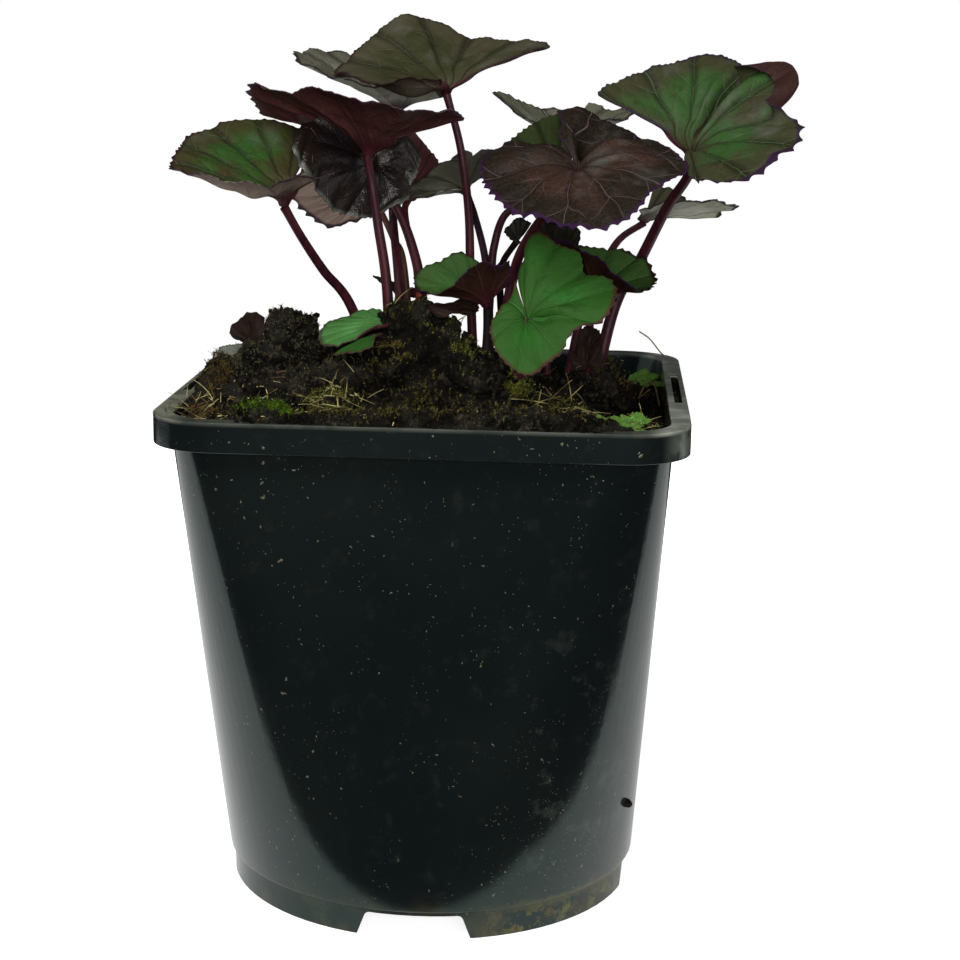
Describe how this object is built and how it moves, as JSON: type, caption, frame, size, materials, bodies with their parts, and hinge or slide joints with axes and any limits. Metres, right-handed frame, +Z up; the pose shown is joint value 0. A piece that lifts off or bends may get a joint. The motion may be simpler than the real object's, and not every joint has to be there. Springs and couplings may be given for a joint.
{
  "type": "potted plant",
  "caption": "Leafy plant with round toothed leaves on thin stalks, in a square-topped, round-footed nursery pot filled with mossy soil.",
  "frame": {"origin": "centre of the whole object's footprint box on the ground; the pot's axis is 17 mm to the left of it", "axes": "+Z up, +X to the viewer's right, +Y to the back; the pot's sides lie along X and Y"},
  "size_m": [0.2042, 0.17, 0.2963],
  "materials": {
    "potPlastic": "near-black green, dull, with a faint sheen on the corners",
    "soil": "damp dark compost, crumbly",
    "olive": "olive leaf, satin",
    "green": "green leaf with pale veins and a purple rim, satin",
    "darkGreen": "dark green leaf, satin",
    "brightGreen": "fresh green leaf, satin",
    "redBrown": "red-brown leaf underside, satin",
    "purpleBrown": "purple-brown leaf with pink veins, satin",
    "blackPurple": "almost black purple leaf, glossy",
    "greyBrown": "pale grey-brown leaf underside, dull",
    "stalk": "dark purple-red stalk, smooth",
    "moss": "brown-green moss",
    "withered": "withered dark brown leaf, dull",
    "straw": "straw-coloured dry moss and grass"
  },
  "bodies": {
    "root": {"pot": "potPlastic", "soil": "soil", "leaf_top": "olive", "leaf_top_back": "olive", "leaf_raised_red": "redBrown", "leaf_left_green": "green", "leaf_glossy_dark": "blackPurple", "leaf_left_under": "greyBrown", "leaf_brown_red": "redBrown", "leaf_edge_on": "darkGreen", "leaf_centre_purple": "purpleBrown", "leaf_behind_centre": "green", "leaf_right_big": "green", "leaf_right_thin": "greyBrown", "leaf_back": "olive", "leaf_low_centre": "green", "leaf_bright_green": "brightGreen", "leaf_low_right": "green", "leaf_small_dark": "darkGreen", "leaf_small_grey": "darkGreen", "leaf_soil_upper": "brightGreen", "leaf_soil_lower": "brightGreen", "stalk_top": "stalk", "stalk_top_back": "stalk", "stalk_raised_red": "stalk", "stalk_left_green": "stalk", "stalk_glossy_dark": "stalk", "stalk_left_under": "stalk", "stalk_brown_red": "stalk", "stalk_edge_on": "stalk", "stalk_centre_purple": "stalk", "stalk_behind_centre": "stalk", "stalk_right_big": "stalk", "stalk_right_thin": "stalk", "stalk_back": "stalk", "stalk_low_centre": "stalk", "stalk_bright_green": "stalk", "stalk_low_right": "stalk", "stalk_small_dark": "stalk", "stalk_small_grey": "stalk", "stalk_soil_upper": "stalk", "stalk_soil_lower": "stalk", "scrap_left": "withered", "scrap_right": "withered", "scrap_centre": "withered", "scrap_grey": "greyBrown", "scrap_yellow": "straw", "scrap_sprout": "darkGreen", "moss_front": "moss", "moss_front_left": "moss", "moss_straw_left": "straw", "moss_straw_right": "straw", "moss_centre": "moss", "clod_left": "moss", "clod_edge": "straw", "plantlet_left": "brightGreen", "plantlet_right": "brightGreen", "liverwort": "brightGreen", "grass_arch": "straw", "grass_hair": "straw"}
  },
  "joints": []
}
